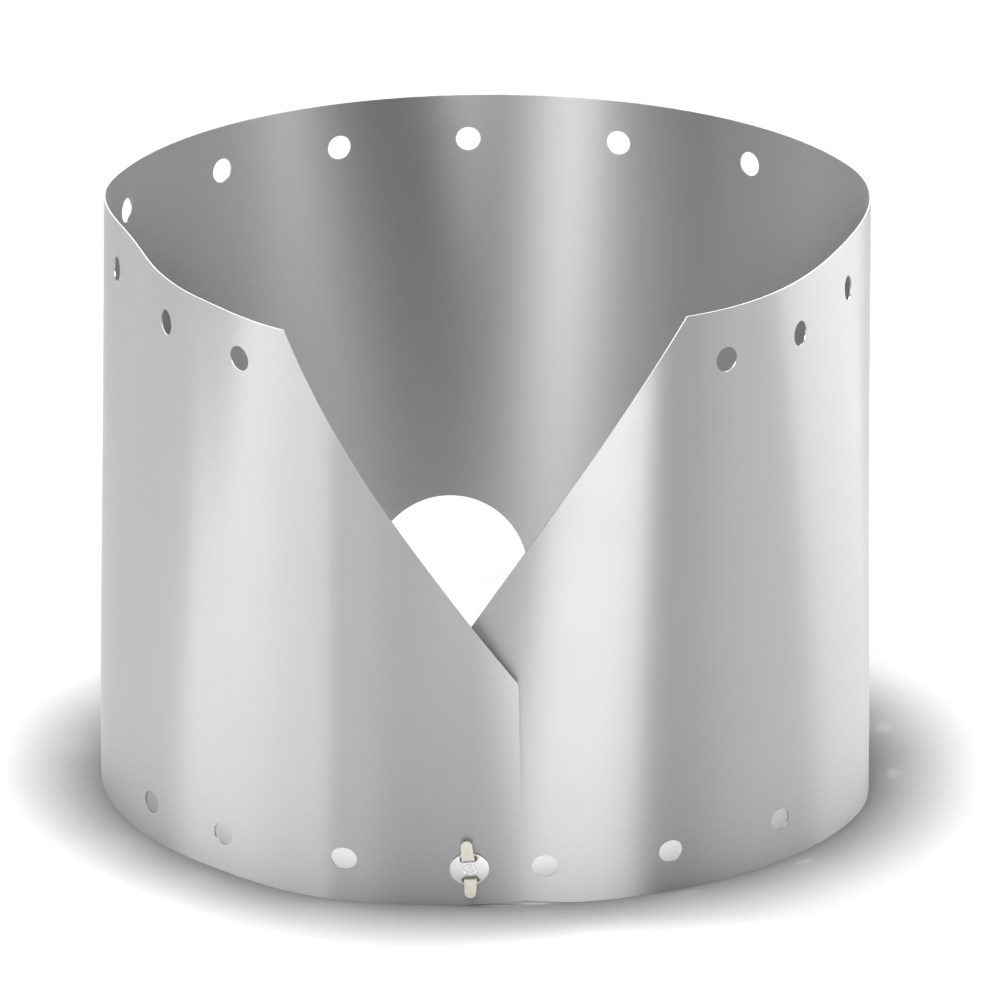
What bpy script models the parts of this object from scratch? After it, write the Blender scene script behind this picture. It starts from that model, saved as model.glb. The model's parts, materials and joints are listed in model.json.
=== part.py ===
"""Roll-up windscreen for a spirit stove.

One thin springy sheet is rolled into a ring, open at the top and the bottom. Its two ends overlap at
the front, where a fastener pins them together: a slotted washer on each side, and a flat strip whose
two prongs pass through both layers and are folded over the outer washer.
Run it with: blender --background --python part.py

The ring stands on z = 0 with its fastener towards -Y. Places on the sheet are given by an angle round
the ring, in degrees from the fastener and growing past the ring's left side (-X), and by a height.
The sheet's outer end is at a small negative angle and its inner end a little past 360.
"""

import math

import bmesh
import bpy
from mathutils import Matrix, Vector

MM = 0.001

# The sheet.
RADIUS = 79.5 * MM
HEIGHT = 120.0 * MM
THICKNESS = 0.3 * MM
LAYER_GAP = 0.35 * MM
OUTER_END, INNER_END = -7.0, 368.0

# The V notch over the overlap: where each sloping edge leaves the top, and how tall the sheet's two
# upright ends are. The outer sloping edge is bowed into the sheet.
OUTER_CORNER, INNER_CORNER = 24.5, 327.8
OUTER_END_HEIGHT, INNER_END_HEIGHT = 47.0 * MM, 42.0 * MM
OUTER_EDGE_BOW = 2.8 * MM
OUTER_END_SLANT = 1.0 * MM

# The lower corners of both ends are trimmed, so that they never catch on the ground.
OUTER_TRIM = (11.0 * MM, 0.9 * MM)
INNER_TRIM = (32.0 * MM, 2.6 * MM)

# The arch in the lower edge, at the back.
ARCH_ANGLE = 170.8
ARCH_RADIUS = 17.0 * MM
ARCH_SPRING_HEIGHT = 15.0 * MM

# Vent holes, each as its angle and how far its middle is from the edge that it follows. They were
# punched by hand, so neither row is quite even. The upper row has a gap on the right, and the lower
# row has one on each side and one at the arch.
UPPER_VENTS = (
    (33, 9.0 * MM), (52, 9.0 * MM), (80, 9.5 * MM), (108, 9.0 * MM), (133, 9.5 * MM), (154, 9.5 * MM),
    (174, 9.5 * MM), (197, 9.0 * MM), (220, 8.5 * MM), (262, 9.0 * MM), (284, 9.5 * MM),
    (304, 11.0 * MM), (321, 10.5 * MM),
)
LOWER_VENTS = (
    (18, 9.0 * MM), (39, 8.0 * MM), (56, 8.0 * MM), (97, 8.0 * MM), (116, 8.0 * MM), (135, 8.0 * MM),
    (194, 8.0 * MM), (213, 8.0 * MM), (232, 8.0 * MM), (252, 8.0 * MM), (271, 8.0 * MM),
    (310, 9.0 * MM), (330, 8.5 * MM), (349, 8.0 * MM),
)
UPPER_VENT_SIZE = (5.2 * MM, 5.1 * MM)
LOWER_VENT_SIZE = (5.3 * MM, 4.5 * MM)

# Where the springy sheet stands away from the round, each as its angle, its half width and its rise,
# outwards positive. The foot is dented on the right. The free top edge flares out at the outer end,
# is squeezed in at both sides, and is tucked in at the inner end.
FOOT_BUMPS = ((267, 20, -2.0 * MM),)
RIM_BUMPS = ((10, 45, 8.0 * MM), (72, 30, -5.5 * MM), (285, 40, -5.0 * MM), (368, 40, -5.0 * MM))
SPRING_FROM = 12.0 * MM
SPRING_POWER = 1.5

# The fastener pulls the ring in at the overlap, and the sheet stands out a little beside it.
PINCH_DEPTH, PINCH_HALF_WIDTH = 1.0 * MM, 20.0
SWELL_HEIGHT, SWELL_ANGLE, SWELL_HALF_WIDTH = 2.0 * MM, 22.0, 22.0
INNER_STEP_FROM, INNER_STEP_TO = 320.0, 350.0

# The fastener.
FASTENER_HEIGHT = 7.8 * MM
FASTENER_TURN = 6.0
FASTENER_HOLE = 6.2 * MM
WASHER_SIZE = (7.9 * MM, 6.7 * MM)
WASHER_THICKNESS = 0.4 * MM
WASHER_MARK_RADII = (0.9 * MM, 1.3 * MM)
WASHER_MARK_DEPTH = 0.12 * MM
STRIP_WIDTH, PRONG_TIP_WIDTH = 2.6 * MM, 2.3 * MM
STRIP_THICKNESS = 0.5 * MM
FOLD_OFFSET = 2.2 * MM
UPPER_PRONG_REACH, LOWER_PRONG_REACH = 4.0 * MM, 3.6 * MM
UPPER_PRONG_LEAN, LOWER_PRONG_LEAN = 0.0, -FASTENER_TURN
TOUCH = 0.3 * MM

# How finely round things are divided.
FACET = 4.0
BANDS = (12.0 * MM, 40.0 * MM, 66.0 * MM, 92.0 * MM)
VENT_SIDES = 20
ARCH_SIDES = 16
BOW_SIDES = 8
WASHER_SIDES = 40
PRONG_SIDES = 8

DEGREE = math.radians(1.0)
ARC_PER_DEGREE = RADIUS * DEGREE


# ---- How the ring is shaped ----


def ease(x):
    x = min(max(x, 0.0), 1.0)
    return x * x * (3 - 2 * x)


def bump(x):
    """1 at 0, and down to 0 at -1 and 1 without a corner."""
    return math.cos(math.pi / 2 * x) ** 2 if abs(x) < 1 else 0.0


def spread(bumps, angle):
    """How far the ring stands out from the round at an angle."""
    return sum(rise * bump((angle - middle) / half_width) for middle, half_width, rise in bumps)


def ring_radius(angle, height):
    """The distance from the ring's axis to the sheet's outer face."""
    turn = (angle + 180) % 360 - 180
    pinch = -PINCH_DEPTH * bump(turn / PINCH_HALF_WIDTH)
    swell = SWELL_HEIGHT * bump((turn - SWELL_ANGLE) / SWELL_HALF_WIDTH)
    free = (max(height - SPRING_FROM, 0.0) / (HEIGHT - SPRING_FROM)) ** SPRING_POWER
    sprung = (1 - free) * spread(FOOT_BUMPS, angle) + free * spread(RIM_BUMPS, angle)
    tuck = (THICKNESS + LAYER_GAP) * ease((angle - INNER_STEP_FROM) / (INNER_STEP_TO - INNER_STEP_FROM))
    return RADIUS + pinch + swell + sprung - tuck


def on_ring(angle, height, depth=0.0):
    """A point of the rolled sheet, depth inwards from its outer face."""
    radius = ring_radius(angle, height) - depth
    return Vector((-radius * math.sin(angle * DEGREE), -radius * math.cos(angle * DEGREE), height))


# ---- Shared helpers ----


def clear_scene():
    for item in list(bpy.data.objects):
        bpy.data.objects.remove(item)


def material(name, colour, roughness, metallic):
    made = bpy.data.materials.new(name)
    made.use_nodes = True
    shader = made.node_tree.nodes["Principled BSDF"]
    shader.inputs["Base Color"].default_value = (*colour, 1.0)
    shader.inputs["Roughness"].default_value = roughness
    shader.inputs["Metallic"].default_value = metallic
    return made


def add_object(name, bm, finish, smooth_angle=30.0):
    mesh = bpy.data.meshes.new(name)
    bmesh.ops.recalc_face_normals(bm, faces=bm.faces)
    bm.to_mesh(mesh)
    bm.free()
    mesh.materials.append(finish)
    mesh.shade_smooth()
    mesh.set_sharp_from_angle(angle=smooth_angle * DEGREE)
    made = bpy.data.objects.new(name, mesh)
    bpy.context.scene.collection.objects.link(made)
    return made


def slab(bm, outline, low, high):
    """A solid with this outline in XY, from z = low to z = high."""
    corners = [bm.verts.new((x, y, low)) for x, y in outline]
    face = bm.faces.new(corners)
    raised = bmesh.ops.extrude_face_region(bm, geom=[face])["geom"]
    moved = [item for item in raised if isinstance(item, bmesh.types.BMVert)]
    bmesh.ops.translate(bm, verts=moved, vec=(0, 0, high - low))


def ellipse(centre, size, sides):
    x, y = centre
    turns = [2 * math.pi * i / sides for i in range(sides)]
    return [(x + size[0] / 2 * math.cos(t), y + size[1] / 2 * math.sin(t)) for t in turns]


def cut(target, cutter):
    """Takes cutter away from target, and leaves target with the resulting mesh."""
    cutter.hide_render = True
    cutter.display_type = "WIRE"
    boolean = target.modifiers.new("cut", "BOOLEAN")
    boolean.object = cutter
    bpy.context.view_layer.update()
    evaluated = target.evaluated_get(bpy.context.evaluated_depsgraph_get())
    result = bpy.data.meshes.new_from_object(evaluated)
    target.modifiers.clear()
    target.data = result
    bpy.data.objects.remove(cutter)


def bowed_edge(start, end, bow, sides):
    """Points along an arc from start to end, both included, that stands bow to the right of the chord."""
    start, end = Vector(start), Vector(end)
    chord = end - start
    right = Vector((chord.y, -chord.x)).normalized()
    points = []
    for i in range(sides + 1):
        t = i / sides
        points.append(tuple(start + chord * t + right * bow * 4 * t * (1 - t)))
    return points


# ---- The sheet ----


def blank_outline():
    """The flat blank, seen from outside: x is the arc length round the ring and y the height."""
    arc = ARC_PER_DEGREE
    outer_end, inner_end = OUTER_END * arc, INNER_END * arc
    trim_run, trim_rise = OUTER_TRIM
    outline = [(outer_end - OUTER_END_SLANT, trim_rise), (outer_end - OUTER_END_SLANT + trim_run, 0.0)]

    middle = ARCH_ANGLE * arc
    outline.append((middle - ARCH_RADIUS, 0.0))
    for i in range(ARCH_SIDES + 1):
        turn = math.pi * (1 - i / ARCH_SIDES)
        across, up = ARCH_RADIUS * math.cos(turn), ARCH_RADIUS * math.sin(turn)
        outline.append((middle + across, ARCH_SPRING_HEIGHT + up))
    outline.append((middle + ARCH_RADIUS, 0.0))

    trim_run, trim_rise = INNER_TRIM
    outline += [(inner_end - trim_run, 0.0), (inner_end, trim_rise), (inner_end, INNER_END_HEIGHT)]
    outline.append((INNER_CORNER * arc, HEIGHT))
    corner, foot = (OUTER_CORNER * arc, HEIGHT), (outer_end, OUTER_END_HEIGHT)
    outline += bowed_edge(corner, foot, -OUTER_EDGE_BOW, BOW_SIDES)
    return outline


def blank_holes():
    """(centre, size) of every hole in the flat blank."""
    arc = ARC_PER_DEGREE
    holes = [((angle * arc, HEIGHT - inset), UPPER_VENT_SIZE) for angle, inset in UPPER_VENTS]
    holes += [((angle * arc, inset), LOWER_VENT_SIZE) for angle, inset in LOWER_VENTS]
    for angle in (0.0, 360.0):
        holes.append(((angle * arc, FASTENER_HEIGHT), (FASTENER_HOLE, FASTENER_HOLE)))
    return holes


def windscreen_sheet(finish):
    bm = bmesh.new()
    slab(bm, blank_outline(), -THICKNESS, 0.0)
    sheet = add_object("windscreen_sheet", bm, finish)

    holes = bmesh.new()
    for centre, size in blank_holes():
        slab(holes, ellipse(centre, size, VENT_SIDES), -3 * THICKNESS, 2 * THICKNESS)
    cut(sheet, add_object("vent_punches", holes, finish))

    bm = bmesh.new()
    bm.from_mesh(sheet.data)
    first, last = math.ceil(OUTER_END / FACET), math.floor(INNER_END / FACET)
    for i in range(first, last + 1):
        score(bm, Vector((i * FACET * ARC_PER_DEGREE, 0, 0)), Vector((1, 0, 0)))
    for height in BANDS:
        score(bm, Vector((0, height, 0)), Vector((0, 1, 0)))
    bmesh.ops.triangulate(bm, faces=bm.faces)
    for vertex in bm.verts:
        along, height, outwards = vertex.co
        vertex.co = on_ring(along / ARC_PER_DEGREE, height, -outwards)
    bpy.data.objects.remove(sheet)
    return add_object("windscreen_sheet", bm, finish)


def score(bm, point, normal):
    """Divides every face that the plane crosses, so that the blank can bend there."""
    everything = [*bm.verts, *bm.edges, *bm.faces]
    bmesh.ops.bisect_plane(bm, geom=everything, dist=1e-7, plane_co=point, plane_no=normal)


# ---- The fastener, each piece in the fastener's own frame: z outwards, y up, 0 on the sheet ----


def layers_from_outside():
    """How far out each level of the fastener lies, measured from the outer sheet's outer face."""
    inner_sheet = -(THICKNESS + LAYER_GAP + THICKNESS)
    washer_sag = 0.1 * MM
    inner_washer_top = inner_sheet - TOUCH - washer_sag
    strip_top = inner_washer_top - WASHER_THICKNESS - TOUCH
    outer_washer_top = TOUCH + WASHER_THICKNESS
    return {
        "inner_washer": (inner_washer_top - WASHER_THICKNESS, inner_washer_top),
        "bridge": (strip_top - STRIP_THICKNESS, strip_top),
        "outer_washer": (TOUCH, outer_washer_top),
        "prong": (outer_washer_top + TOUCH, outer_washer_top + TOUCH + STRIP_THICKNESS),
    }


def washer(name, low, high, finish, marked):
    """A disc with two slots for the prongs. A marked one has a plain ring stamped into its outer face."""
    bm = bmesh.new()
    slab(bm, ellipse((0, 0), WASHER_SIZE, WASHER_SIDES), low, high)
    made = add_object(name, bm, finish)
    slots = bmesh.new()
    half_width, half_height = STRIP_WIDTH / 2 + TOUCH, STRIP_THICKNESS / 2 + TOUCH
    for side in (-1, 1):
        y = side * FOLD_OFFSET
        corners = [(-half_width, y - half_height), (half_width, y - half_height)]
        corners += [(half_width, y + half_height), (-half_width, y + half_height)]
        slab(slots, corners, low - TOUCH, high + TOUCH)
    cut(made, add_object("slot_punches", slots, finish))
    if marked:
        cut(made, stamped_ring(high, finish))
    return made


def stamped_ring(top, finish):
    """The tool of the stamped mark: a ring of square section."""
    inner, outer = WASHER_MARK_RADII
    low, high = top - WASHER_MARK_DEPTH, top + WASHER_MARK_DEPTH
    bm = bmesh.new()
    corners = [bm.verts.new((r, 0, z)) for r, z in ((inner, low), (outer, low), (outer, high), (inner, high))]
    section = [bm.edges.new((corners[i - 1], corners[i])) for i in range(len(corners))]
    steps = WASHER_SIDES // 2
    bmesh.ops.spin(
        bm, geom=corners + section, cent=(0, 0, 0), axis=(0, 0, 1), angle=2 * math.pi, steps=steps
    )
    bmesh.ops.remove_doubles(bm, verts=bm.verts, dist=0.001 * MM)
    return add_object("ring_punch", bm, finish)


def prong_strip(levels, finish):
    """The strip behind the sheet: a bridge and the two legs that pass through both layers."""
    low = levels["bridge"][0]
    inside = levels["bridge"][1]
    fold = levels["prong"][0]
    reach = FOLD_OFFSET + STRIP_THICKNESS / 2
    inner_reach = FOLD_OFFSET - STRIP_THICKNESS / 2
    side_view = [(-reach, low), (reach, low), (reach, fold), (inner_reach, fold)]
    side_view += [(inner_reach, inside), (-inner_reach, inside), (-inner_reach, fold), (-reach, fold)]
    bm = bmesh.new()
    slab(bm, side_view, -STRIP_WIDTH / 2, STRIP_WIDTH / 2)
    # The side view's x is the fastener's y, its y the fastener's z, and its z the fastener's x.
    bm.transform(Matrix(((0, 0, 1, 0), (1, 0, 0, 0), (0, 1, 0, 0), (0, 0, 0, 1))))
    return add_object("prong_strip", bm, finish)


def prong(name, reach, finish):
    """A folded end of the strip, pointing along +y from its fold, which is at the origin."""
    half_thickness = STRIP_THICKNESS / 2
    half_width, tip = STRIP_WIDTH / 2, PRONG_TIP_WIDTH / 2
    root = half_thickness + TOUCH
    outline = [(-half_width, root), (half_width, root)]
    for i in range(PRONG_SIDES + 1):
        turn = math.pi * i / PRONG_SIDES
        outline.append((tip * math.cos(turn), reach - tip + tip * math.sin(turn)))
    bm = bmesh.new()
    slab(bm, outline, -half_thickness, half_thickness)
    return add_object(name, bm, finish)


def fastener(metal, strip_finish):
    levels = layers_from_outside()
    frame = bpy.data.objects.new("fastener_frame", None)
    bpy.context.scene.collection.objects.link(frame)
    # Before its turn, the fastener's x, y and z are the ring's +X, +Z and -Y where it sits.
    axes = Matrix(((1, 0, 0), (0, 0, -1), (0, 1, 0))).to_4x4()
    turned = axes @ Matrix.Rotation(FASTENER_TURN * DEGREE, 4, "Z")
    frame.matrix_world = Matrix.Translation(on_ring(0.0, FASTENER_HEIGHT)) @ turned

    pieces = [
        washer("outer_washer", *levels["outer_washer"], metal, marked=True),
        washer("inner_washer", *levels["inner_washer"], metal, marked=False),
        prong_strip(levels, strip_finish),
    ]
    fold_height = (levels["prong"][0] + levels["prong"][1]) / 2
    for name, side, reach, turn in (
        ("upper_prong", 1, UPPER_PRONG_REACH, UPPER_PRONG_LEAN),
        ("lower_prong", -1, LOWER_PRONG_REACH, 180 + LOWER_PRONG_LEAN),
    ):
        piece = prong(name, reach, strip_finish)
        piece.location = (0, side * FOLD_OFFSET, fold_height)
        piece.rotation_euler = (0, 0, turn * DEGREE)
        pieces.append(piece)
    for piece in pieces:
        piece.parent = frame
    return frame


def stand_on_origin(movers):
    """Moves everything sideways until the origin is under the middle of the object's box."""
    bpy.context.view_layer.update()
    corners = []
    for item in bpy.data.objects:
        if item.type == "MESH":
            corners += [item.matrix_world @ vertex.co for vertex in item.data.vertices]
    for axis in (0, 1):
        values = [corner[axis] for corner in corners]
        for mover in movers:
            mover.location[axis] -= (min(values) + max(values)) / 2


def main():
    clear_scene()
    satin = material("satin_titanium", (0.60, 0.60, 0.59), 0.34, 1.0)
    bright = material("bright_washer", (0.86, 0.86, 0.86), 0.22, 1.0)
    cream = material("cream_strip", (0.74, 0.70, 0.60), 0.45, 0.3)
    sheet = windscreen_sheet(satin)
    frame = fastener(bright, cream)
    stand_on_origin([sheet, frame])


main()
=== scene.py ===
"""Looks for the roll-up windscreen: satin rolled sheet, bright slotted washers and a cream two-prong strip.

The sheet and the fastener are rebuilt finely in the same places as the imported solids, from the same
driving dimensions. Angles go round the ring in degrees from the fastener, growing past its left side.
"""

import json
import math

import bmesh
import bpy
from mathutils import Matrix, Vector


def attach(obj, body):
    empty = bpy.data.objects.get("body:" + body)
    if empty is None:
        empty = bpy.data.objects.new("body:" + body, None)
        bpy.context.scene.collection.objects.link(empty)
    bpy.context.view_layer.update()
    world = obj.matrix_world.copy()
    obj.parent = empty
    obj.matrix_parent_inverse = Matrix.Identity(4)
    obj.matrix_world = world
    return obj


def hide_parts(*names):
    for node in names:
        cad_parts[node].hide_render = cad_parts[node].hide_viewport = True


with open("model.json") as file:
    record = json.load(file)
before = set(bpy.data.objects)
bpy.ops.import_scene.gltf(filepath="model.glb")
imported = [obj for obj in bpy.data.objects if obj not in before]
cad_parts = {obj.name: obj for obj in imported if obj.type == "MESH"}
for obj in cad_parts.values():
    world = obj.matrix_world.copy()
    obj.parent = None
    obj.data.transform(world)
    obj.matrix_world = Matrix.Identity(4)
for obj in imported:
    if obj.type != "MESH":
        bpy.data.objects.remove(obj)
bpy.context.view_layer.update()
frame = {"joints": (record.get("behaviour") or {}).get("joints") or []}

MM = 0.001
DEGREE = math.radians(1.0)

# ---- Dimensions of the sheet ----

RADIUS = 79.5 * MM
HEIGHT = 120.0 * MM
THICKNESS = 0.3 * MM
LAYER_GAP = 0.35 * MM
ARC_PER_DEGREE = RADIUS * DEGREE
OUTER_END, INNER_END = -7.0, 368.0
# The V notch over the overlap: where each sloping edge leaves the top, and how tall the sheet's two
# upright ends are. The outer sloping edge is bowed into the sheet.
OUTER_CORNER, INNER_CORNER = 24.5, 327.8
OUTER_END_HEIGHT, INNER_END_HEIGHT = 47.0 * MM, 42.0 * MM
OUTER_EDGE_BOW = 2.8 * MM
OUTER_END_SLANT = 1.0 * MM

# The lower corners of both ends are trimmed, so that they never catch on the ground.
OUTER_TRIM = (11.0 * MM, 0.9 * MM)
INNER_TRIM = (32.0 * MM, 2.6 * MM)

# The arch in the lower edge, at the back.
ARCH_ANGLE = 170.8
ARCH_RADIUS = 17.0 * MM
ARCH_SPRING_HEIGHT = 15.0 * MM

# Vent holes, each as its angle and how far its middle is from the edge that it follows. They were
# punched by hand, so neither row is quite even. The upper row has a gap on the right, and the lower
# row has one on each side and one at the arch.
UPPER_VENTS = (
    (33, 9.0 * MM), (52, 9.0 * MM), (80, 9.5 * MM), (108, 9.0 * MM), (133, 9.5 * MM), (154, 9.5 * MM),
    (174, 9.5 * MM), (197, 9.0 * MM), (220, 8.5 * MM), (262, 9.0 * MM), (284, 9.5 * MM),
    (304, 11.0 * MM), (321, 10.5 * MM),
)
LOWER_VENTS = (
    (18, 9.0 * MM), (39, 8.0 * MM), (56, 8.0 * MM), (97, 8.0 * MM), (116, 8.0 * MM), (135, 8.0 * MM),
    (194, 8.0 * MM), (213, 8.0 * MM), (232, 8.0 * MM), (252, 8.0 * MM), (271, 8.0 * MM),
    (310, 9.0 * MM), (330, 8.5 * MM), (349, 8.0 * MM),
)
UPPER_VENT_SIZE = (5.2 * MM, 5.1 * MM)
LOWER_VENT_SIZE = (5.3 * MM, 4.5 * MM)

# Where the springy sheet stands away from the round, each as its angle, its half width and its rise,
# outwards positive. The foot is dented on the right. The free top edge flares out at the outer end,
# is squeezed in at both sides, and is tucked in at the inner end.
FOOT_BUMPS = ((267, 20, -2.0 * MM),)
RIM_BUMPS = ((10, 45, 8.0 * MM), (72, 30, -5.5 * MM), (285, 40, -5.0 * MM), (368, 40, -5.0 * MM))
SPRING_FROM = 12.0 * MM
SPRING_POWER = 1.5

# The fastener pulls the ring in at the overlap, and the sheet stands out a little beside it.
PINCH_DEPTH, PINCH_HALF_WIDTH = 1.0 * MM, 20.0
SWELL_HEIGHT, SWELL_ANGLE, SWELL_HALF_WIDTH = 2.0 * MM, 22.0, 22.0
INNER_STEP_FROM, INNER_STEP_TO = 320.0, 350.0

# ---- Dimensions of the fastener ----

FASTENER_HEIGHT = 7.8 * MM
FASTENER_TURN = 6.0
FASTENER_HOLE = 6.2 * MM
WASHER_SIZE = (7.9 * MM, 6.7 * MM)
WASHER_THICKNESS = 0.4 * MM
WASHER_EDGE = 0.1 * MM
MARK_RADIUS, MARK_WIDTH, MARK_DEPTH = 1.1 * MM, 0.4 * MM, 0.1 * MM
STRIP_WIDTH, PRONG_TIP_WIDTH = 2.6 * MM, 2.3 * MM
STRIP_THICKNESS = 0.5 * MM
FOLD_OFFSET = 2.2 * MM
UPPER_PRONG_REACH, LOWER_PRONG_REACH = 4.0 * MM, 3.6 * MM
TOUCH = 0.3 * MM
# The flat inner washer stands off the curved sheet by this much more.
WASHER_SAG = 0.1 * MM
SLOT_CORNER = 0.15 * MM
STRIP_ROUNDING = 0.4 * STRIP_THICKNESS / 2
STRIP_SHOULDER = 0.3 * MM
PRONG_EDGE = 0.08 * MM
PRONG_EDGE_FROM = 50.0

# ---- How finely the visible meshes are divided ----

FACET = 2.0
BAND = 6.0 * MM
VENT_SIDES = 48
ARCH_SIDES = 48
BOW_SIDES = 24
WASHER_SIDES = 96
PRONG_SIDES = 24
KNUCKLE_SIDES = 32
MARK_STEPS = 12
SHOULDER_STEPS = 6
CORNER_STEPS = 4
PRONG_EDGE_STEPS = 3
# The sharpest bend, in degrees, that is still shaded smooth.
SMOOTH_UP_TO, STRIP_SMOOTH_UP_TO = 30.0, 40.0

# ---- Camera and light ----

CAMERA_AZIMUTH = 2.8
CAMERA_ELEVATION = 19.03
CAMERA_DISTANCE = 30 * RADIUS
AIM_HEIGHT = 58.1 * MM
AIM_RIGHT = 2.2 * MM
LENS = 422.0


# ---- How the ring is shaped ----


def ease(x):
    x = min(max(x, 0.0), 1.0)
    return x * x * (3 - 2 * x)


def bump(x):
    """1 at 0, and down to 0 at -1 and 1 without a corner."""
    return math.cos(math.pi / 2 * x) ** 2 if abs(x) < 1 else 0.0


def spread(bumps, angle):
    """How far the ring stands out from the round at an angle."""
    return sum(rise * bump((angle - middle) / half_width) for middle, half_width, rise in bumps)


def ring_radius(angle, height):
    """The distance from the ring's axis to the sheet's outer face."""
    turn = (angle + 180) % 360 - 180
    pinch = -PINCH_DEPTH * bump(turn / PINCH_HALF_WIDTH)
    swell = SWELL_HEIGHT * bump((turn - SWELL_ANGLE) / SWELL_HALF_WIDTH)
    free = (max(height - SPRING_FROM, 0.0) / (HEIGHT - SPRING_FROM)) ** SPRING_POWER
    sprung = (1 - free) * spread(FOOT_BUMPS, angle) + free * spread(RIM_BUMPS, angle)
    tuck = (THICKNESS + LAYER_GAP) * ease((angle - INNER_STEP_FROM) / (INNER_STEP_TO - INNER_STEP_FROM))
    return RADIUS + pinch + swell + sprung - tuck


def on_ring(angle, height, depth=0.0):
    """A point of the rolled sheet, depth inwards from its outer face, seen from the ring's own axis."""
    radius = ring_radius(angle, height) - depth
    return Vector((-radius * math.sin(angle * DEGREE), -radius * math.cos(angle * DEGREE), height))


def outward(angle, height):
    """The outer face's normal."""
    step = 0.2
    across = on_ring(angle - step, height) - on_ring(angle + step, height)
    upwards = on_ring(angle, height + step * MM) - on_ring(angle, height - step * MM)
    return across.cross(upwards).normalized()


def joint(name):
    found = next(j for j in frame["joints"] if j["name"] == name)
    return Vector(found["pos_m"]), Vector(found["axis"])


FASTENER_PLACE = joint("fastener_turn")[0]
RING_AXIS = FASTENER_PLACE - on_ring(0.0, FASTENER_HEIGHT)


# ---- Shared mesh helpers ----


def link(name, mesh):
    made = bpy.data.objects.new(name, mesh)
    bpy.context.scene.collection.objects.link(made)
    return made


def add_object(name, bm, finish, smooth_up_to=SMOOTH_UP_TO):
    mesh = bpy.data.meshes.new(name)
    bmesh.ops.recalc_face_normals(bm, faces=bm.faces)
    bm.to_mesh(mesh)
    bm.free()
    mesh.materials.append(finish)
    mesh.shade_smooth()
    mesh.set_sharp_from_angle(angle=smooth_up_to * DEGREE)
    return link(name, mesh)


def slab(bm, outline, low, high):
    """A solid with this outline in XY, from z = low to z = high."""
    corners = [bm.verts.new((x, y, low)) for x, y in outline]
    face = bm.faces.new(corners)
    raised = bmesh.ops.extrude_face_region(bm, geom=[face])["geom"]
    moved = [item for item in raised if isinstance(item, bmesh.types.BMVert)]
    bmesh.ops.translate(bm, verts=moved, vec=(0, 0, high - low))


def ellipse(centre, size, sides):
    x, y = centre
    turns = [2 * math.pi * i / sides for i in range(sides)]
    return [(x + size[0] / 2 * math.cos(t), y + size[1] / 2 * math.sin(t)) for t in turns]


def cut(target, cutter):
    """Takes cutter away from target, and leaves target with the resulting mesh."""
    boolean = target.modifiers.new("cut", "BOOLEAN")
    boolean.object = cutter
    apply_modifiers(target)
    bpy.data.objects.remove(cutter)


def apply_modifiers(target):
    bpy.context.view_layer.update()
    evaluated = target.evaluated_get(bpy.context.evaluated_depsgraph_get())
    result = bpy.data.meshes.new_from_object(evaluated)
    target.modifiers.clear()
    target.data = result


def bowed_edge(start, end, bow, sides):
    """Points on a shallow curve from start to end, both included, bowed to the right of its chord."""
    start, end = Vector(start), Vector(end)
    chord = end - start
    right = Vector((chord.y, -chord.x)).normalized()
    points = []
    for i in range(sides + 1):
        t = i / sides
        points.append(tuple(start + chord * t + right * bow * 4 * t * (1 - t)))
    return points


# ---- The sheet ----


def blank_outline():
    """The flat blank, seen from outside: x is the arc length round the ring and y the height."""
    arc = ARC_PER_DEGREE
    outer_end, inner_end = OUTER_END * arc, INNER_END * arc
    trim_run, trim_rise = OUTER_TRIM
    outline = [(outer_end - OUTER_END_SLANT, trim_rise), (outer_end - OUTER_END_SLANT + trim_run, 0.0)]

    middle = ARCH_ANGLE * arc
    outline.append((middle - ARCH_RADIUS, 0.0))
    for i in range(ARCH_SIDES + 1):
        turn = math.pi * (1 - i / ARCH_SIDES)
        across, up = ARCH_RADIUS * math.cos(turn), ARCH_RADIUS * math.sin(turn)
        outline.append((middle + across, ARCH_SPRING_HEIGHT + up))
    outline.append((middle + ARCH_RADIUS, 0.0))

    trim_run, trim_rise = INNER_TRIM
    outline += [(inner_end - trim_run, 0.0), (inner_end, trim_rise), (inner_end, INNER_END_HEIGHT)]
    outline.append((INNER_CORNER * arc, HEIGHT))
    corner, foot = (OUTER_CORNER * arc, HEIGHT), (outer_end, OUTER_END_HEIGHT)
    outline += bowed_edge(corner, foot, -OUTER_EDGE_BOW, BOW_SIDES)
    return outline


def blank_holes():
    """(centre, size) of every hole in the flat blank."""
    arc = ARC_PER_DEGREE
    holes = [((angle * arc, HEIGHT - inset), UPPER_VENT_SIZE) for angle, inset in UPPER_VENTS]
    holes += [((angle * arc, inset), LOWER_VENT_SIZE) for angle, inset in LOWER_VENTS]
    for angle in (0.0, 360.0):
        holes.append(((angle * arc, FASTENER_HEIGHT), (FASTENER_HOLE, FASTENER_HOLE)))
    return holes


def score(bm, point, normal):
    """Divides every face that the plane crosses, so that the blank can bend there."""
    everything = [*bm.verts, *bm.edges, *bm.faces]
    bmesh.ops.bisect_plane(bm, geom=everything, dist=1e-7, plane_co=point, plane_no=normal)


FACE_SLOT, EDGE_SLOT = 0, 1


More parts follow.
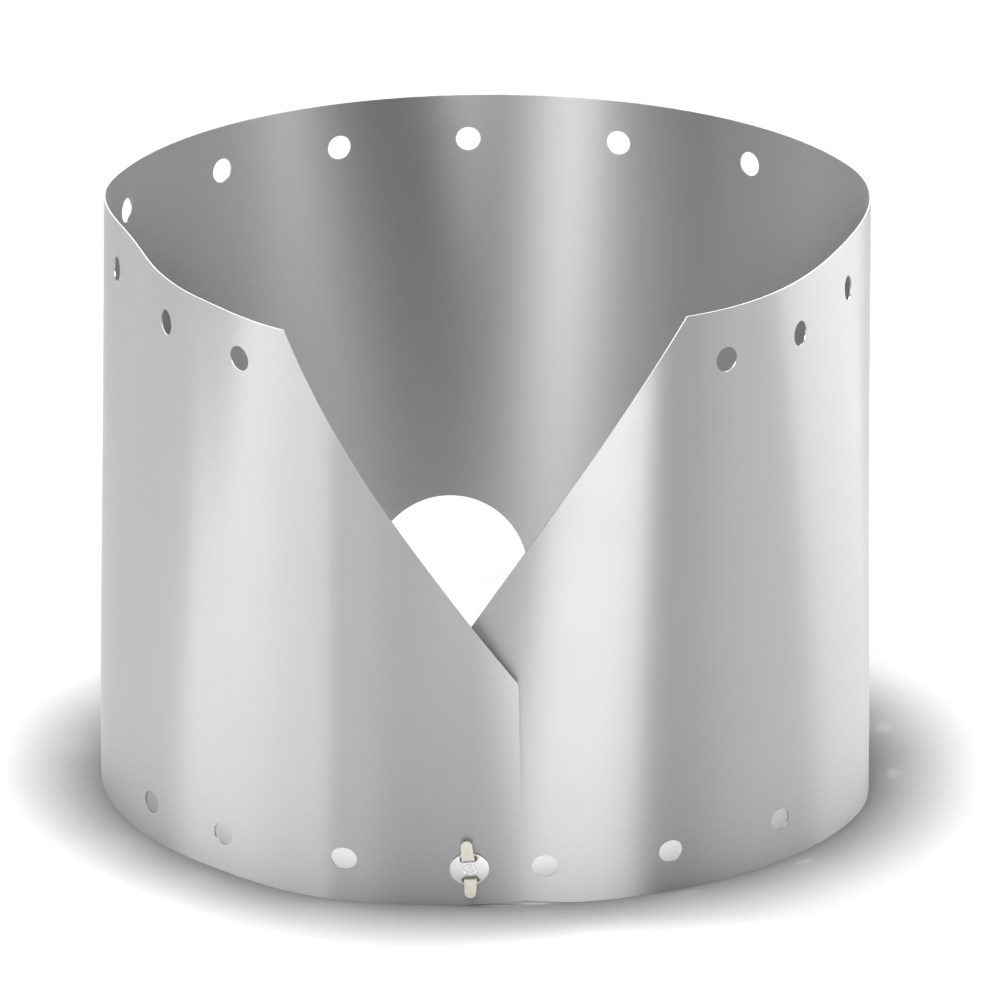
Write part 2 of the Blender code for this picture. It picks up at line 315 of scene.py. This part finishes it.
def flat_blank(finish):
    """The blank as a closed slab, punched and scored, with its flat coordinates kept as UVs in metres."""
    bm = bmesh.new()
    slab(bm, blank_outline(), -THICKNESS, 0.0)
    sheet = add_object("rolled_sheet", bm, finish)
    holes = bmesh.new()
    for centre, size in blank_holes():
        slab(holes, ellipse(centre, size, VENT_SIDES), -3 * THICKNESS, 2 * THICKNESS)
    cut(sheet, add_object("vent_punches", holes, finish))

    bm = bmesh.new()
    bm.from_mesh(sheet.data)
    bpy.data.objects.remove(sheet)
    for i in range(1, math.ceil(HEIGHT / BAND)):
        score(bm, Vector((0, i * BAND, 0)), Vector((0, 1, 0)))
    first, last = math.ceil(OUTER_END / FACET), math.floor(INNER_END / FACET)
    for i in range(first, last + 1):
        score(bm, Vector((i * FACET * ARC_PER_DEGREE, 0, 0)), Vector((1, 0, 0)))
    bmesh.ops.triangulate(bm, faces=bm.faces)
    flat = bm.loops.layers.uv.new("flat")
    for face in bm.faces:
        face.smooth = True
        face.material_index = FACE_SLOT if abs(face.normal.z) > 0.5 else EDGE_SLOT
        for loop in face.loops:
            loop[flat].uv = loop.vert.co.xy
    return bm


def rolled_sheet(face_finish, edge_finish):
    """The blank rolled into the ring, shaded with the curve's own normals."""
    bm = flat_blank(face_finish)
    bm.normal_update()
    sides = [face.normal.z for face in bm.faces]
    places = {}
    for vertex in bm.verts:
        along, height, up = vertex.co
        angle = along / ARC_PER_DEGREE
        places[vertex.index] = (angle, height)
        vertex.co = on_ring(angle, height, -up) + RING_AXIS
    bmesh.ops.reverse_faces(bm, faces=bm.faces)
    bm.normal_update()
    mesh = bpy.data.meshes.new("rolled_sheet")
    bm.to_mesh(mesh)
    bm.free()
    mesh.materials.append(face_finish)
    mesh.materials.append(edge_finish)

    normals = [None] * len(mesh.loops)
    outwards = {index: outward(*place) for index, place in places.items()}
    for polygon, side in zip(mesh.polygons, sides):
        for loop in polygon.loop_indices:
            if polygon.material_index == EDGE_SLOT:
                normals[loop] = polygon.normal
            else:
                normals[loop] = outwards[mesh.loops[loop].vertex_index] * (1 if side > 0 else -1)
    mesh.normals_split_custom_set(normals)
    return link("rolled_sheet", mesh)


# ---- The fastener, each piece in the fastener's own frame: z outwards, y up, 0 on the sheet ----


def fastener_levels():
    """How far out each level lies, measured from the outer sheet's outer face."""
    inner_sheet = -(THICKNESS + LAYER_GAP + THICKNESS)
    inner_washer_top = inner_sheet - TOUCH - WASHER_SAG
    strip_top = inner_washer_top - WASHER_THICKNESS - TOUCH
    outer_washer_top = TOUCH + WASHER_THICKNESS
    return {
        "inner_washer": (inner_washer_top - WASHER_THICKNESS, inner_washer_top),
        "bridge": (strip_top - STRIP_THICKNESS, strip_top),
        "outer_washer": (TOUCH, outer_washer_top),
        "fold": outer_washer_top + TOUCH + STRIP_THICKNESS / 2,
    }


FASTENER_AXES = Matrix(((1, 0, 0), (0, 0, -1), (0, 1, 0))).to_4x4()
FASTENER_FRAME = (
    Matrix.Translation(FASTENER_PLACE) @ FASTENER_AXES @ Matrix.Rotation(FASTENER_TURN * DEGREE, 4, "Z")
)


def turned_washer(name, low, high, finish, marked):
    """A disc with rounded edges and two slots. A marked one has a plain ring stamped in its outer face."""
    width, height = WASHER_SIZE
    rim = width / 2
    profile = [(0.0, low)]
    profile += corner_arc((rim, low), -90, WASHER_EDGE, (-1, 1))
    profile += corner_arc((rim, high), 0, WASHER_EDGE, (-1, -1))
    if marked:
        for i in range(MARK_STEPS + 1):
            t = i / MARK_STEPS
            groove = MARK_DEPTH * math.sin(math.pi * t)
            profile.append((MARK_RADIUS + MARK_WIDTH * (0.5 - t), high - groove))
    profile.append((0.0, high))
    bm = bmesh.new()
    points = [bm.verts.new((x, 0, z)) for x, z in profile]
    lines = [bm.edges.new(pair) for pair in zip(points, points[1:])]
    bmesh.ops.spin(
        bm, geom=points + lines, cent=(0, 0, 0), axis=(0, 0, 1), angle=2 * math.pi, steps=WASHER_SIDES
    )
    bmesh.ops.remove_doubles(bm, verts=bm.verts, dist=0.001 * MM)
    bmesh.ops.scale(bm, verts=bm.verts, vec=(1, height / width, 1))
    made = add_object(name, bm, finish)

    slots = bmesh.new()
    half_width, half_height = STRIP_WIDTH / 2 + TOUCH, STRIP_THICKNESS / 2 + TOUCH
    for side in (-1, 1):
        outline = rounded_box((0, side * FOLD_OFFSET), half_width, half_height, SLOT_CORNER)
        slab(slots, outline, low - TOUCH, high + TOUCH)
    cut(made, add_object("slot_punches", slots, finish))
    made.matrix_world = FASTENER_FRAME
    return made


def corner_arc(corner, from_degrees, radius, inwards):
    """A quarter circle that rounds a profile's corner, starting at this direction from its centre."""
    centre = (corner[0] + inwards[0] * radius, corner[1] + inwards[1] * radius)
    turns = [(from_degrees + 90 * i / CORNER_STEPS) * DEGREE for i in range(CORNER_STEPS + 1)]
    return [(centre[0] + radius * math.cos(t), centre[1] + radius * math.sin(t)) for t in turns]


def rounded_box(centre, half_width, half_height, radius):
    """A rectangle's outline with rounded corners."""
    outline = []
    for start, x, y in ((0, 1, 1), (90, -1, 1), (180, -1, -1), (270, 1, -1)):
        corner = (centre[0] + x * half_width, centre[1] + y * half_height)
        outline += corner_arc(corner, start, radius, (-x, -y))
    return outline


def strip_section(half_width):
    """The strip's cross-section with softly rounded edges."""
    return rounded_box((0, 0), half_width, STRIP_THICKNESS / 2, STRIP_ROUNDING)


def sweep(name, spine, finish):
    """Sweeps the strip's section along a path in the fastener's YZ plane: (y, z, half_width) points."""
    bm = bmesh.new()
    rings = []
    for i, (y, z, half_width) in enumerate(spine):
        before, after = spine[max(i - 1, 0)], spine[min(i + 1, len(spine) - 1)]
        along = Vector((0, after[0] - before[0], after[1] - before[1])).normalized()
        thick = Vector((0, -along.z, along.y))
        section = strip_section(half_width)
        rings.append([bm.verts.new(Vector((a, y, z)) + thick * b) for a, b in section])
    for first, second in zip(rings, rings[1:]):
        for i in range(len(first)):
            bm.faces.new((first[i - 1], first[i], second[i], second[i - 1]))
    bm.faces.new(rings[0])
    bm.faces.new(rings[-1])
    return add_object(name, bm, finish, STRIP_SMOOTH_UP_TO)


def staple(finish):
    """The strip behind the sheet: a bridge with bent shoulders and two legs up to the folds."""
    levels = fastener_levels()
    bridge = sum(levels["bridge"]) / 2
    half_width = STRIP_WIDTH / 2
    spine = [(-FOLD_OFFSET, levels["fold"], half_width)]
    for i in range(SHOULDER_STEPS + 1):
        t = 90 * DEGREE * i / SHOULDER_STEPS
        across, up = STRIP_SHOULDER * (1 - math.cos(t)), STRIP_SHOULDER * (1 - math.sin(t))
        spine.append((-FOLD_OFFSET + across, bridge + up, half_width))
    spine += [(-y, z, w) for y, z, w in reversed(spine)]
    made = sweep("strip_staple", spine, finish)
    made.matrix_world = FASTENER_FRAME
    return made


def folded_prong(name, joint_name, reach, finish):
    """A prong from its fold outwards: a round knuckle, a flat tongue and a round tip."""
    place, axis = joint(joint_name)
    half_width, half_thickness, tip = STRIP_WIDTH / 2, STRIP_THICKNESS / 2, PRONG_TIP_WIDTH / 2
    bm = bmesh.new()
    outline = [(-half_width, 0.0), (half_width, 0.0)]
    for i in range(PRONG_SIDES + 1):
        turn = math.pi * i / PRONG_SIDES
        outline.append((tip * math.cos(turn), reach - tip + tip * math.sin(turn)))
    slab(bm, outline, -half_thickness, half_thickness)
    made = add_object(name, bm, finish, STRIP_SMOOTH_UP_TO)
    knuckle = bmesh.new()
    bmesh.ops.create_cone(
        knuckle, cap_ends=True, segments=KNUCKLE_SIDES, radius1=half_thickness, radius2=half_thickness,
        depth=STRIP_WIDTH, matrix=Matrix.Rotation(90 * DEGREE, 4, "Y"),
    )
    union = made.modifiers.new("knuckle", "BOOLEAN")
    union.operation = "UNION"
    union.object = add_object("knuckle", knuckle, finish)
    apply_modifiers(made)
    bpy.data.objects.remove(bpy.data.objects["knuckle"])
    bevel = made.modifiers.new("soft_edges", "BEVEL")
    bevel.width = PRONG_EDGE
    bevel.segments = PRONG_EDGE_STEPS
    bevel.limit_method = "ANGLE"
    bevel.angle_limit = PRONG_EDGE_FROM * DEGREE
    apply_modifiers(made)
    outwards = Vector((0, -1, 0))
    along = outwards.cross(axis)
    made.matrix_world = Matrix.Translation(place) @ Matrix((axis, along, outwards)).transposed().to_4x4()
    return made


# ---- Materials: colours as red, green, blue and alpha, and noise scales per metre ----

# The sheet's grain runs up the ring. Its roughness is the base plus shares of the grain and the clouds.
SATIN_DARK, SATIN_LIGHT = (0.43, 0.43, 0.43, 1), (0.47, 0.47, 0.47, 1)
SATIN_ROUGHNESS, SATIN_GRAIN_SHARE, SATIN_CLOUD_SHARE = 0.405, 0.05, 0.04
SATIN_GRAIN_SCALE, SATIN_CLOUD_SCALE = (60, 6000, 1), 45.0
SATIN_ANISOTROPY, SATIN_ANISOTROPY_TURN = 0.95, 0.25
# The cut edge's colour is lighter than the sheet's, as a painted highlight along the edge.
EDGE_HIGHLIGHT_COLOUR = (0.50, 0.50, 0.49, 1)
EDGE_ROUGHNESS, EDGE_SHEAR_SHARE, EDGE_SHEAR_SCALE = 0.25, 0.2, 900.0
WASHER_COLOUR, WASHER_METALLIC = (0.66, 0.66, 0.66, 1), 0.85
WASHER_ROUGHNESS, WASHER_PIT_SHARE, WASHER_PIT_SCALE = 0.30, 0.12, 4000.0
CREAM_DARK, CREAM_LIGHT, CREAM_METALLIC = (0.46, 0.44, 0.385, 1), (0.58, 0.56, 0.50, 1), 0.2
CREAM_ROUGHNESS, CREAM_MOTTLE_SHARE, CREAM_MOTTLE_SCALE = 0.35, 0.2, 1500.0
# How strong and how deep each surface's relief is.
SATIN_RELIEF, WASHER_RELIEF, CREAM_RELIEF = (0.12, 0.02 * MM), (0.2, 0.02 * MM), (0.25, 0.03 * MM)


class Nodes:
    """A short way to write a node tree."""

    def __init__(self, tree):
        self.tree = tree

    def add(self, kind, inputs=(), **settings):
        node = self.tree.nodes.new(kind)
        for name, value in settings.items():
            setattr(node, name, value)
        for name, value in dict(inputs).items():
            if isinstance(value, bpy.types.NodeSocket):
                self.tree.links.new(value, node.inputs[name])
            else:
                node.inputs[name].default_value = value
        return node

    def math(self, operation, *values):
        node = self.tree.nodes.new("ShaderNodeMath")
        node.operation = operation
        for socket, value in zip(node.inputs, values):
            if isinstance(value, bpy.types.NodeSocket):
                self.tree.links.new(value, socket)
            else:
                socket.default_value = value
        return node.outputs[0]


def principled(name):
    made = bpy.data.materials.new(name)
    made.use_nodes = True
    shader = made.node_tree.nodes["Principled BSDF"]
    return made, shader, Nodes(made.node_tree)


def uneven(nodes, pattern, base, pattern_share):
    """A roughness that a pattern raises by up to its share."""
    return nodes.math("ADD", nodes.math("MULTIPLY", pattern, pattern_share), base)


def mixed(nodes, pattern, dark, light):
    """A colour between two, by a pattern."""
    mix = nodes.add("ShaderNodeMix", {"Factor": pattern, "A": dark, "B": light}, data_type="RGBA")
    return mix.outputs["Result"]


def relief(nodes, shader, pattern, strength, depth):
    bump_node = nodes.add("ShaderNodeBump", {"Height": pattern, "Strength": strength, "Distance": depth})
    nodes.tree.links.new(bump_node.outputs[0], shader.inputs["Normal"])


def satin_sheet():
    """Rolled satin sheet: a fine grain and a little cloudiness."""
    made, shader, nodes = principled("satin_sheet")
    flat = nodes.add("ShaderNodeUVMap", uv_map="flat").outputs["UV"]
    grain_space = nodes.add("ShaderNodeMapping", {"Vector": flat, "Scale": SATIN_GRAIN_SCALE}).outputs[0]
    grain = nodes.add("ShaderNodeTexNoise", {"Vector": grain_space, "Scale": 1.0, "Detail": 4.0})
    clouds = nodes.add("ShaderNodeTexNoise", {"Vector": flat, "Scale": SATIN_CLOUD_SCALE, "Detail": 3.0})
    roughness = uneven(nodes, grain.outputs[0], SATIN_ROUGHNESS, SATIN_GRAIN_SHARE)
    roughness = nodes.math("ADD", roughness, nodes.math("MULTIPLY", clouds.outputs[0], SATIN_CLOUD_SHARE))
    tone = mixed(nodes, grain.outputs[0], SATIN_DARK, SATIN_LIGHT)
    shader.inputs["Metallic"].default_value = 1.0
    shader.inputs["Anisotropic"].default_value = SATIN_ANISOTROPY
    shader.inputs["Anisotropic Rotation"].default_value = SATIN_ANISOTROPY_TURN
    nodes.tree.links.new(roughness, shader.inputs["Roughness"])
    nodes.tree.links.new(tone, shader.inputs["Base Color"])
    tangent = nodes.add("ShaderNodeTangent", direction_type="UV_MAP", uv_map="flat")
    nodes.tree.links.new(tangent.outputs[0], shader.inputs["Tangent"])
    relief(nodes, shader, grain.outputs[0], *SATIN_RELIEF)
    return made


def cut_edge():
    """The sheared edge of the sheet, brighter than its faces: its lighter colour is a painted highlight
    along the edge.
    """
    made, shader, nodes = principled("cut_edge")
    place = nodes.add("ShaderNodeTexCoord").outputs["Object"]
    shear = nodes.add("ShaderNodeTexNoise", {"Vector": place, "Scale": EDGE_SHEAR_SCALE, "Detail": 2.0})
    roughness = uneven(nodes, shear.outputs[0], EDGE_ROUGHNESS, EDGE_SHEAR_SHARE)
    nodes.tree.links.new(roughness, shader.inputs["Roughness"])
    shader.inputs["Base Color"].default_value = EDGE_HIGHLIGHT_COLOUR
    shader.inputs["Metallic"].default_value = 1.0
    return made


def bright_washer():
    """Tumbled bright steel with a very fine random grain."""
    made, shader, nodes = principled("bright_washer")
    place = nodes.add("ShaderNodeTexCoord").outputs["Object"]
    pits = nodes.add("ShaderNodeTexNoise", {"Vector": place, "Scale": WASHER_PIT_SCALE, "Detail": 3.0})
    roughness = uneven(nodes, pits.outputs[0], WASHER_ROUGHNESS, WASHER_PIT_SHARE)
    nodes.tree.links.new(roughness, shader.inputs["Roughness"])
    shader.inputs["Base Color"].default_value = WASHER_COLOUR
    shader.inputs["Metallic"].default_value = WASHER_METALLIC
    relief(nodes, shader, pits.outputs[0], *WASHER_RELIEF)
    return made


def cream_strip():
    """The fastener's strip: a warm cream coating over soft metal."""
    made, shader, nodes = principled("cream_strip")
    place = nodes.add("ShaderNodeTexCoord").outputs["Object"]
    mottle = nodes.add("ShaderNodeTexNoise", {"Vector": place, "Scale": CREAM_MOTTLE_SCALE, "Detail": 4.0})
    tone = mixed(nodes, mottle.outputs[0], CREAM_DARK, CREAM_LIGHT)
    nodes.tree.links.new(tone, shader.inputs["Base Color"])
    roughness = uneven(nodes, mottle.outputs[0], CREAM_ROUGHNESS, CREAM_MOTTLE_SHARE)
    nodes.tree.links.new(roughness, shader.inputs["Roughness"])
    shader.inputs["Metallic"].default_value = CREAM_METALLIC
    relief(nodes, shader, mottle.outputs[0], *CREAM_RELIEF)
    return made


# ---- Stage ----

FLOOR_HALF_SIZE = 6.0
FLOOR_GAP = 0.02 * MM
# FLOOR_SHADED is the colour of the painted contact shadow, where the floor is darkest.
FLOOR_SHADED, FLOOR_WHITE = (0, 0, 0, 1), (0.92, 0.92, 0.92, 1)
# The floor glows a little, so that it stays white, and has a painted contact shadow: its colour and glow
# darken where something stands close over it.
FLOOR_GLOW = 0.15
SHADOW_REACH, SHADOW_DEPTH, SHADOW_SAMPLES = 26 * MM, 1.9, 32


def floor():
    """A plain white floor that fills the view, with a painted contact shadow where something stands close
    over it.
    """
    bm = bmesh.new()
    bmesh.ops.create_grid(bm, x_segments=1, y_segments=1, size=FLOOR_HALF_SIZE)
    made, shader, nodes = principled("white_floor_painted_shadow")
    painted_shadow_nearness = nodes.add("ShaderNodeAmbientOcclusion", {"Distance": SHADOW_REACH}, samples=SHADOW_SAMPLES)
    # Painted contact shadow: the floor's colour and glow go from white towards black where something stands
    # close over it.
    tone = nodes.math("POWER", painted_shadow_nearness.outputs["AO"], SHADOW_DEPTH)
    colour = mixed(nodes, tone, FLOOR_SHADED, FLOOR_WHITE)
    for name in ("Base Color", "Emission Color"):
        nodes.tree.links.new(colour, shader.inputs[name])
    shader.inputs["Emission Strength"].default_value = FLOOR_GLOW
    shader.inputs["Roughness"].default_value = 0.9
    shader.inputs["Specular IOR Level"].default_value = 0.0
    ground = add_object("floor", bm, made)
    ground.location.z = -FLOOR_GAP


# Every direction here is from the camera's, in degrees, to the right positive.
# Two belts of soft light surround the studio. Each has the elevations where it starts, is fullest and
# ends, and its brightness by direction. The lower one is dark at the front right, and the upper one
# lights only the front left.
BELTS = (
    ((5, 25, 50), (
        (-180, 4.0), (-110, 4.0), (-70, 1.5), (-25, 2.5), (10, 0.0), (40, 0.0), (80, 3.5), (180, 4.0),
    )),
    ((25, 50, 90), ((-180, 0.0), (-70, 0.0), (-30, 3.0), (10, 0.0), (180, 0.0))),
)

# Three upright light panels stand on the floor: direction, width and power in watts. They are lower than
# the ring, so the wall in front hides them from its inside.
PANELS = ((-65, 400 * MM, 0.5), (20, 250 * MM, 0.65), (120, 300 * MM, 0.2))
PANEL_DISTANCE, PANEL_HEIGHT = 400 * MM, 110 * MM

# Two small softboxes over the ring's opening, which only its inside can see: direction and power in watts.
SOFTBOXES = ((-40, 0.15), (105, 0.06))
SOFTBOX_DISTANCE, SOFTBOX_HEIGHT, SOFTBOX_SIZE = 70 * MM, 190 * MM, 30 * MM


def ramp(nodes, direction, stops):
    """Brightness by direction, from (degrees, brightness) stops."""
    brightest = max(value for _, value in stops)
    node = nodes.add("ShaderNodeValToRGB", {"Fac": direction})
    colours = node.color_ramp
    colours.interpolation = "LINEAR"
    while len(colours.elements) < len(stops):
        colours.elements.new(0.5)
    for element, (degrees, value) in zip(colours.elements, stops):
        element.position = (degrees + 180) / 360
        element.color = [value / brightest] * 3 + [1]
    return nodes.math("MULTIPLY", node.outputs["Color"], brightest)


def share(nodes, elevation, start, fullest, end):
    """How much of a belt shows at this elevation: 0 at its start, 1 where it is fullest, 0 at its end."""
    rising = nodes.add(
        "ShaderNodeMapRange", {"Value": elevation, "From Min": start * DEGREE, "From Max": fullest * DEGREE}
    )
    falling = nodes.add(
        "ShaderNodeMapRange", {"Value": elevation, "From Min": end * DEGREE, "From Max": fullest * DEGREE}
    )
    return nodes.math("MINIMUM", rising.outputs[0], falling.outputs[0])


def studio():
    world = bpy.data.worlds.new("studio")
    bpy.context.scene.world = world
    world.use_nodes = True
    nodes = Nodes(world.node_tree)
    turn = Matrix.Rotation(-CAMERA_AZIMUTH * DEGREE, 3, "Z").to_euler()
    ray = nodes.add("ShaderNodeTexCoord").outputs["Generated"]
    ray = nodes.add("ShaderNodeVectorRotate", {"Vector": ray, "Rotation": turn}, rotation_type="EULER_XYZ")
    parts = nodes.add("ShaderNodeSeparateXYZ", {"Vector": ray.outputs[0]})
    towards_camera = nodes.math("MULTIPLY", parts.outputs["Y"], -1.0)
    azimuth = nodes.math("ARCTAN2", parts.outputs["X"], towards_camera)
    direction = nodes.math("ADD", nodes.math("DIVIDE", azimuth, 2 * math.pi), 0.5)
    elevation = nodes.math("ARCSINE", parts.outputs["Z"])
    brightness = 0.0
    for elevations, stops in BELTS:
        belt = nodes.math("MULTIPLY", ramp(nodes, direction, stops), share(nodes, elevation, *elevations))
        brightness = nodes.math("ADD", brightness, belt)
    background = world.node_tree.nodes["Background"]
    world.node_tree.links.new(brightness, background.inputs["Color"])


def away(degrees):
    """The level direction that is this far to the right of the camera's, from the ring's axis."""
    turn = (degrees + CAMERA_AZIMUTH) * DEGREE
    return Vector((math.sin(turn), -math.cos(turn), 0))


def lamp(name, shape, place, power, width, height):
    """An area light that the camera doesn't see, shining downwards until it is turned."""
    light = bpy.data.lights.new(name, "AREA")
    light.shape = shape
    light.size, light.size_y = width, height
    light.energy = power
    made = bpy.data.objects.new(name, light)
    bpy.context.scene.collection.objects.link(made)
    made.location = Vector((RING_AXIS.x, RING_AXIS.y, 0)) + place
    made.visible_camera = False
    return made


def lamps():
    up = Vector((0, 0, 1))
    for degrees, width, power in PANELS:
        place = away(degrees) * PANEL_DISTANCE + up * PANEL_HEIGHT / 2
        panel = lamp(f"panel_{degrees}", "RECTANGLE", place, power, width, PANEL_HEIGHT)
        panel.rotation_euler = away(degrees).to_track_quat("Z", "Y").to_euler()
    for degrees, power in SOFTBOXES:
        place = away(degrees) * SOFTBOX_DISTANCE + up * SOFTBOX_HEIGHT
        lamp(f"softbox_{degrees}", "DISK", place, power, SOFTBOX_SIZE, SOFTBOX_SIZE)


def camera():
    lens = bpy.data.cameras.new("camera")
    lens.lens = LENS
    lens.sensor_width = 36.0
    made = bpy.data.objects.new("camera", lens)
    bpy.context.scene.collection.objects.link(made)
    azimuth, elevation = CAMERA_AZIMUTH * DEGREE, CAMERA_ELEVATION * DEGREE
    right = Vector((math.cos(azimuth), math.sin(azimuth), 0))
    aim = Vector((RING_AXIS.x, RING_AXIS.y, AIM_HEIGHT)) + right * AIM_RIGHT
    level = Vector((math.sin(azimuth), -math.cos(azimuth), 0))
    back = level * math.cos(elevation) + Vector((0, 0, math.sin(elevation)))
    made.location = aim + back * CAMERA_DISTANCE
    made.rotation_euler = (-back).to_track_quat("-Z", "Y").to_euler()
    lens.clip_end = 50.0
    bpy.context.scene.camera = made


def main():
    satin, edge, bright, cream = satin_sheet(), cut_edge(), bright_washer(), cream_strip()
    levels = fastener_levels()
    pieces = (
        (rolled_sheet(satin, edge), "ring", "windscreen_sheet", "sheet_metal"),
        (
            turned_washer("slotted_washer_outer", *levels["outer_washer"], bright, marked=True),
            "fastener", "outer_washer", "washer_metal",
        ),
        (
            turned_washer("slotted_washer_inner", *levels["inner_washer"], bright, marked=False),
            "fastener", "inner_washer", "washer_metal",
        ),
        (staple(cream), "fastener", "prong_strip", "strip_metal"),
        (
            folded_prong("folded_prong_upper", "upper_prong_bend", UPPER_PRONG_REACH, cream),
            "upper_prong", "upper_prong", "strip_metal",
        ),
        (
            folded_prong("folded_prong_lower", "lower_prong_bend", LOWER_PRONG_REACH, cream),
            "lower_prong", "lower_prong", "strip_metal",
        ),
    )
    for piece, body, node, slot in pieces:
        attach(piece, body)
        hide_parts(node)
    floor()
    studio()
    lamps()
    camera()
    bpy.context.scene.view_settings.view_transform = "Standard"


main()
